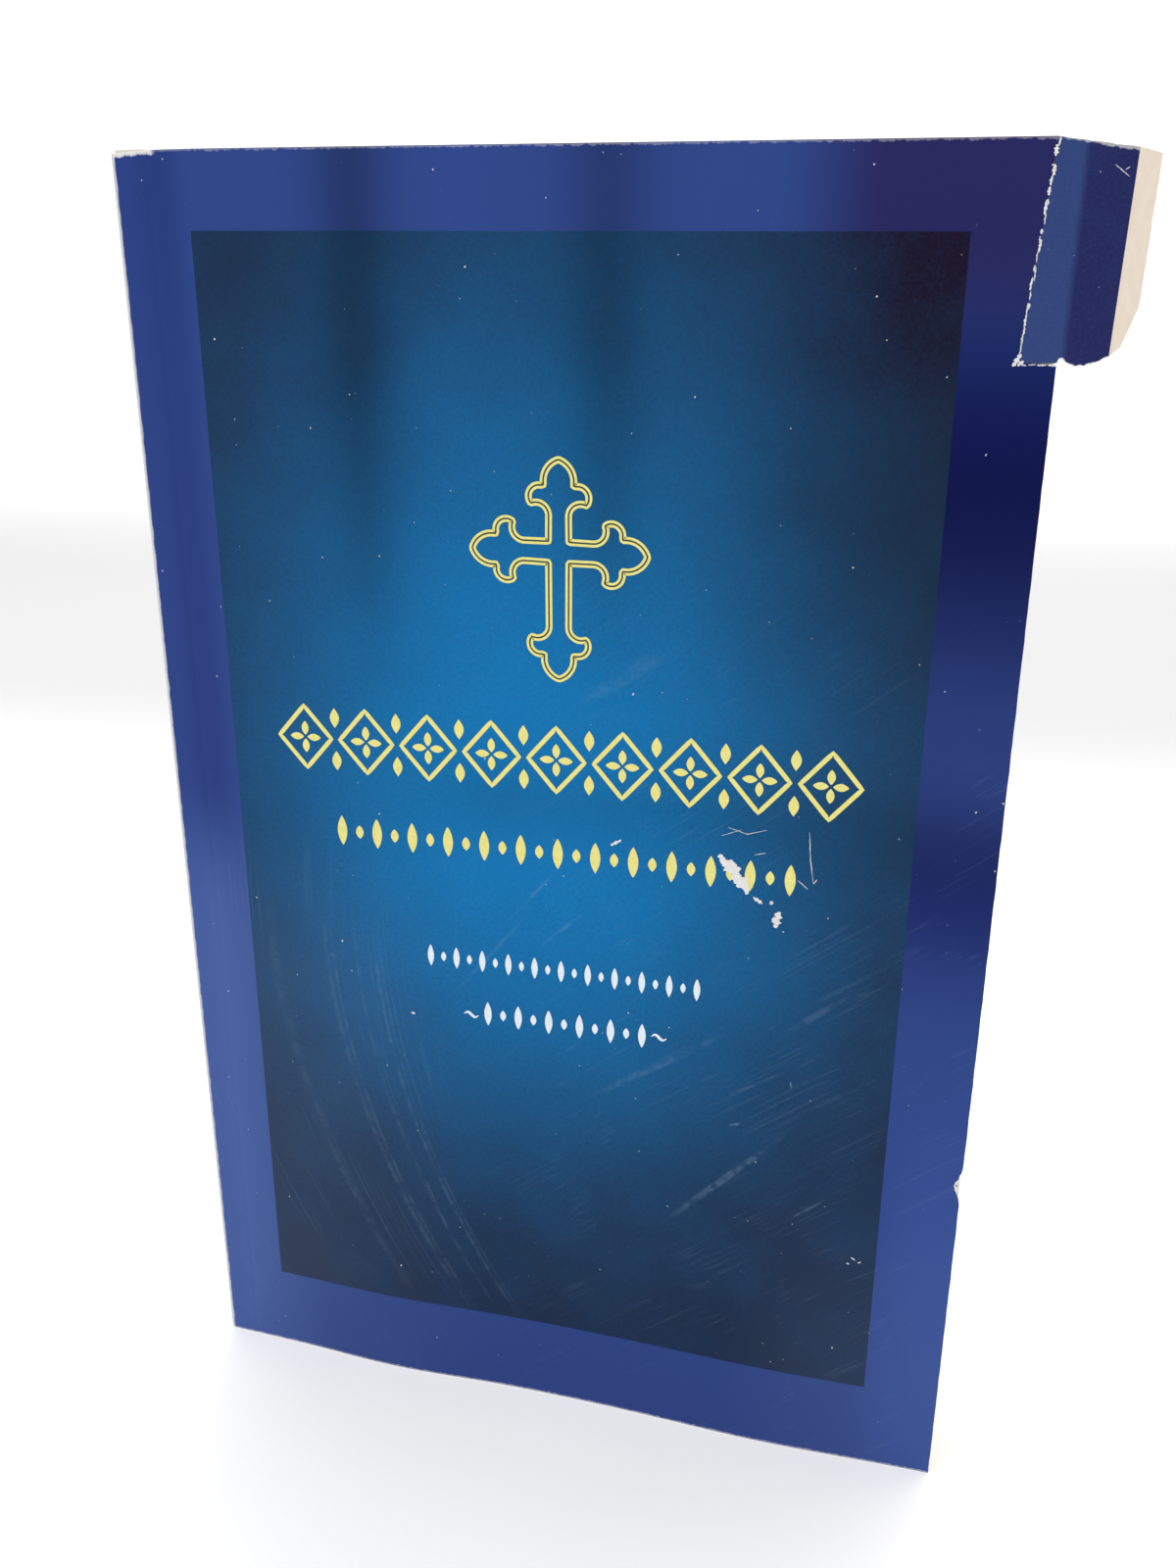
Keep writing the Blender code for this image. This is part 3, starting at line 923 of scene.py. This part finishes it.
def spineMarks():
    # a column of lozenges with leaves between them, and a pair of thin rules at each end
    x, tall = spineRow["middle"], spineRow["leafHalf"]
    places = np.linspace(spineRow["low"], spineRow["high"], spineRow["count"])
    half = (places[1] - places[0]) / 2  # from a lozenge to the leaf below it
    marks = []
    for number, z in enumerate(places):
        marks.append(lozengeRing(x, z, *spineRow["lozenge"], onSpine))
        marks += quatrefoil(x, z, *spineRow["flower"], onSpine)
        if number:
            low, high = (x, z - half - tall), (x, z - half + tall)
            marks.append(leafStrip(low, high, spineRow["leafWide"], face=onSpine))
    for z in spineRow["rules"]:
        rule = along([(x - spineRow["ruleReach"], z), (x + spineRow["ruleReach"], z)], np.linspace(0, 1, 12))
        marks.append(ribbon(rule, spineRow["ruleWide"], face=onSpine))
    return marks


spinePiece = makePiece("spine_frieze", spineMarks(), [gold] * 3)
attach(spinePiece, "spine")
print("ornaments made")

# flakes and scratches down to bare card: points on the middle line, half width
scuffs = [
    ([(94.6, 114.1), (96.4, 112.7), (98.1, 110.5), (99.6, 108.2)], 1.25),
    ([(100.4, 107.7), (101.9, 106.8)], 0.35),
    ([(103.1, 107.3), (103.5, 106.9)], 0.35),
    ([(104.7, 105.7), (104.2, 104.4), (104.2, 102.9)], 0.75),
    ([(77.3, 113.8), (79.0, 114.9)], 0.28),
    ([(42.0, 78.3), (42.7, 78.2)], 0.22),
    ([(120.0, 43.2), (120.7, 42.8)], 0.12),
    ([(121.2, 42.3), (121.7, 42.6)], 0.10),
    ([(119.3, 41.9), (119.8, 41.8)], 0.10),
    ([(foreEdge - 0.35, 62.2), (foreEdge - 1.05, 60.6), (foreEdge - 0.45, 58.9)], 0.24),
]
scratches = [
    ([(108.5, 119.6), (108.9, 115.0), (109.6, 111.1)], 0.07), ([(109.6, 111.1), (110.1, 111.9)], 0.07),
    ([(100.3, 114.9), (102.0, 115.4)], 0.06), ([(107.2, 111.4), (108.8, 110.1)], 0.07),
    ([(96.0, 119.0), (99.0, 118.2), (102.0, 119.2)], 0.05), ([(95.0, 117.5), (98.0, 118.8)], 0.04),
]


def scuffStrip(points, wide, seed, lift=0.07):
    # a flake of bare card: a strip with sides that tear unevenly and ends that close
    t = np.linspace(0, 1, 70)
    close = wide * np.sin(math.pi * np.linspace(0.02, 0.98, 70)) ** 0.5
    left, right = (np.maximum(close * (0.75 + 0.45 * rough(t * 12, seed + side, 1.3)), 0.02)
                   for side in (0, 100))
    return ribbon(along(points, t), left, right, lift, 0.1)


flakes = [scuffStrip(points, wide, 60 + number) for number, (points, wide) in enumerate(scuffs)]
fine = [scuffStrip(points, wide, 80 + number, 0.035) for number, (points, wide) in enumerate(scratches)]
wear = makePiece("scuffed_flakes", flakes + fine, [cardCore] * 3)
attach(wear, "front_cover")
print("wear made")


def leafSheet(order, columns, rows, turnX):
    # one leaf: a flat sheet at its own place in the block, its fore-edge trimmed a hair unevenly
    leafCount = page["signatures"] * page["perSignature"]
    y = (order - (leafCount - 1) / 2) * page["pitch"]
    past = (columns - turnX) / (page["foreEdge"] - turnX) * (page["trim"] * jitter(order, 91, 0.9))
    x, z = np.meshgrid(columns + np.where(columns > turnX + page["bendTo"] + 1, past, 0), rows)
    outer = np.stack([x, np.full_like(x, y - page["thick"] / 2), z], -1)
    return slab(outer, outer + [0, page["thick"], 0], flatPlace(x, z, order))


for number in range(page["signatures"]):
    turnX = page["firstTurn"] + page["turnStep"] * min(number, page["signatures"] - 1 - number)
    bend = turnX + np.linspace(page["bendFrom"], page["bendTo"], 14)
    columns = np.concatenate([[page["firstX"]], bend, np.linspace(turnX + 12, page["foreEdge"], 6)])
    rows = np.linspace(page["tail"], page["head"], 5)
    orders = [number * page["perSignature"] + leaf for leaf in range(page["perSignature"])]
    signature = f"signature_{number + 1:02d}"
    made = makePiece(f"leaves_{number + 1:02d}", [leafSheet(order, columns, rows, turnX) for order in orders],
                     [paper, paper, paperEdge])
    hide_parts(signature, *(["leaf_roots"] if number == 0 else []))
    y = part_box(signature)[0].y / mm + page["bendDepth"]
    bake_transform(made)
print("leaves made")

for name in ("spine_glue", "front_side_glue", "back_side_glue"):
    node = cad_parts[name]
    node.data.materials.clear()
    node.data.materials.append(glue)

studio = {
    "halfWide": 7.0, "across": 9, "front": -7.0, "back": 1.0, "bend": 0.5, "wall": 2.6, "under": 4,
    "dark": (0.88, 0.88, 0.88, 1), "light": (0.92, 0.92, 0.92, 1), "far": (0.665, 0.665, 0.67, 1),
    # the grey zone of painted shade: its start and end, going away from the book on a slant
    "slant": 0.16, "farStart": (180, 440), "farEnd": (1270, 680),
    "glow": (1.0, 0.94, 0.89, 1), "glowLeast": 0.17, "glowFar": 0.14, "glowWall": 0.30,
    "wallZ": (120, 600),
}


def backdropSheet():
    # a floor that curves up into a wall: a straight run, a quarter circle and a straight rise
    arc = np.linspace(0, math.pi / 2, 24)[1:]
    y = np.concatenate([np.linspace(studio["front"], studio["back"], 30),
                        studio["back"] + studio["bend"] * np.sin(arc), [studio["back"] + studio["bend"]]])
    z = np.concatenate([np.zeros(30), studio["bend"] * (1 - np.cos(arc)), [studio["wall"]]])
    x = np.linspace(-studio["halfWide"], studio["halfWide"], studio["across"])
    grid = np.stack([np.tile(x, (len(y), 1)), np.tile(y[:, None], (1, len(x))),
                     np.tile(z[:, None], (1, len(x)))], -1) / mm
    return slab(grid - [spineLeft, 0, 0], grid - [spineLeft, -studio["under"], studio["under"]])


def sweepPaper(flat):
    # matt white paper that glows a little, more on the wall, with a faint grey zone of painted shade behind
    # the book
    away = flat.part(1) - flat.part(0) * studio["slant"]
    # painted shade: a grey zone behind the book, where the paper is greyer and glows less
    distant = away.ramp(*studio["farStart"]) * away.ramp(*studio["farEnd"])
    glow = flat.part(2).ramp(*studio["wallZ"]) * studio["glowWall"] + studio["glowLeast"]
    glow = limited(glow - distant * studio["glowFar"])
    near = flat.noise(0.02, 2.0).mixed(studio["dark"], studio["light"])
    return {"Base Color": distant.mixed(near, studio["far"]), "Roughness": 0.9, "Emission Strength": 1.0,
            "Emission Color": glow.mixed((0.0, 0.0, 0.0, 1), studio["glow"])}


sweepFinish = newMaterial("sweep_paper", sweepPaper, Specular_IOR_Level=0.1)
sweepFinish.cycles.emission_sampling = "NONE"
sweep = makePiece("backdrop", [backdropSheet()], [sweepFinish] * 3)

# soft square lamps: place in metres, side, power and colour
lights = {
    "key": ((-0.75, -0.55, 1.15), 0.9, 6.5, (1.0, 0.99, 0.97)),
    "fill": ((0.9, -0.8, 0.9), 0.9, 3.0, (0.96, 0.98, 1.0)),
    "rear": ((0.0, 0.75, 1.5), 1.4, 8.0, (1.0, 1.0, 1.0)),
}
aim = np.array([0, 0, 0.1])
for name, (place, size, power, colour) in lights.items():
    light = bpy.data.lights.new(name, "AREA")
    light.shape, light.size, light.energy, light.color = "SQUARE", size, power, colour
    lamp = bpy.data.objects.new(name, light)
    lamp.location = place
    x, y, z = aim - np.array(place)
    lamp.rotation_euler = (math.atan2(math.hypot(x, y), -z), 0, math.atan2(-x, y))
    bpy.context.scene.collection.objects.link(lamp)

# the room: full strength where the camera sees it, dimmer as a light
room = {"colour": (0.97, 0.98, 1.0, 1), "light": 0.72, "seen": 1.0}
world = bpy.data.worlds.new("studio")
world.use_nodes = True
background = world.node_tree.nodes["Background"]
background.inputs["Color"].default_value = room["colour"]
seen = world.node_tree.nodes.new("ShaderNodeLightPath").outputs["Is Camera Ray"]
strength = Wire(world.node_tree, seen) * (room["seen"] - room["light"]) + room["light"]
world.node_tree.links.new(strength.socket, background.inputs["Strength"])
bpy.context.scene.world = world

# the camera: place in millimetres of the book, and turn in degrees
shot = {"focal": 32.565, "sensor": 36.0, "clip": 0.005, "x": 127.94, "away": 201.52, "z": 202.24,
        "turn": (69.407, -0.250, 15.213)}
lens = bpy.data.cameras.new("camera")
lens.lens, lens.sensor_width, lens.clip_start = shot["focal"], shot["sensor"], shot["clip"]
camera = bpy.data.objects.new("camera", lens)
camera.location = toFrame([shot["x"], -coverFace - shot["away"], shot["z"]]).tolist()
camera.rotation_euler = [math.radians(angle) for angle in shot["turn"]]
bpy.context.scene.collection.objects.link(camera)
bpy.context.scene.camera = camera
bpy.context.scene.view_settings.view_transform = "Standard"
print("studio made")
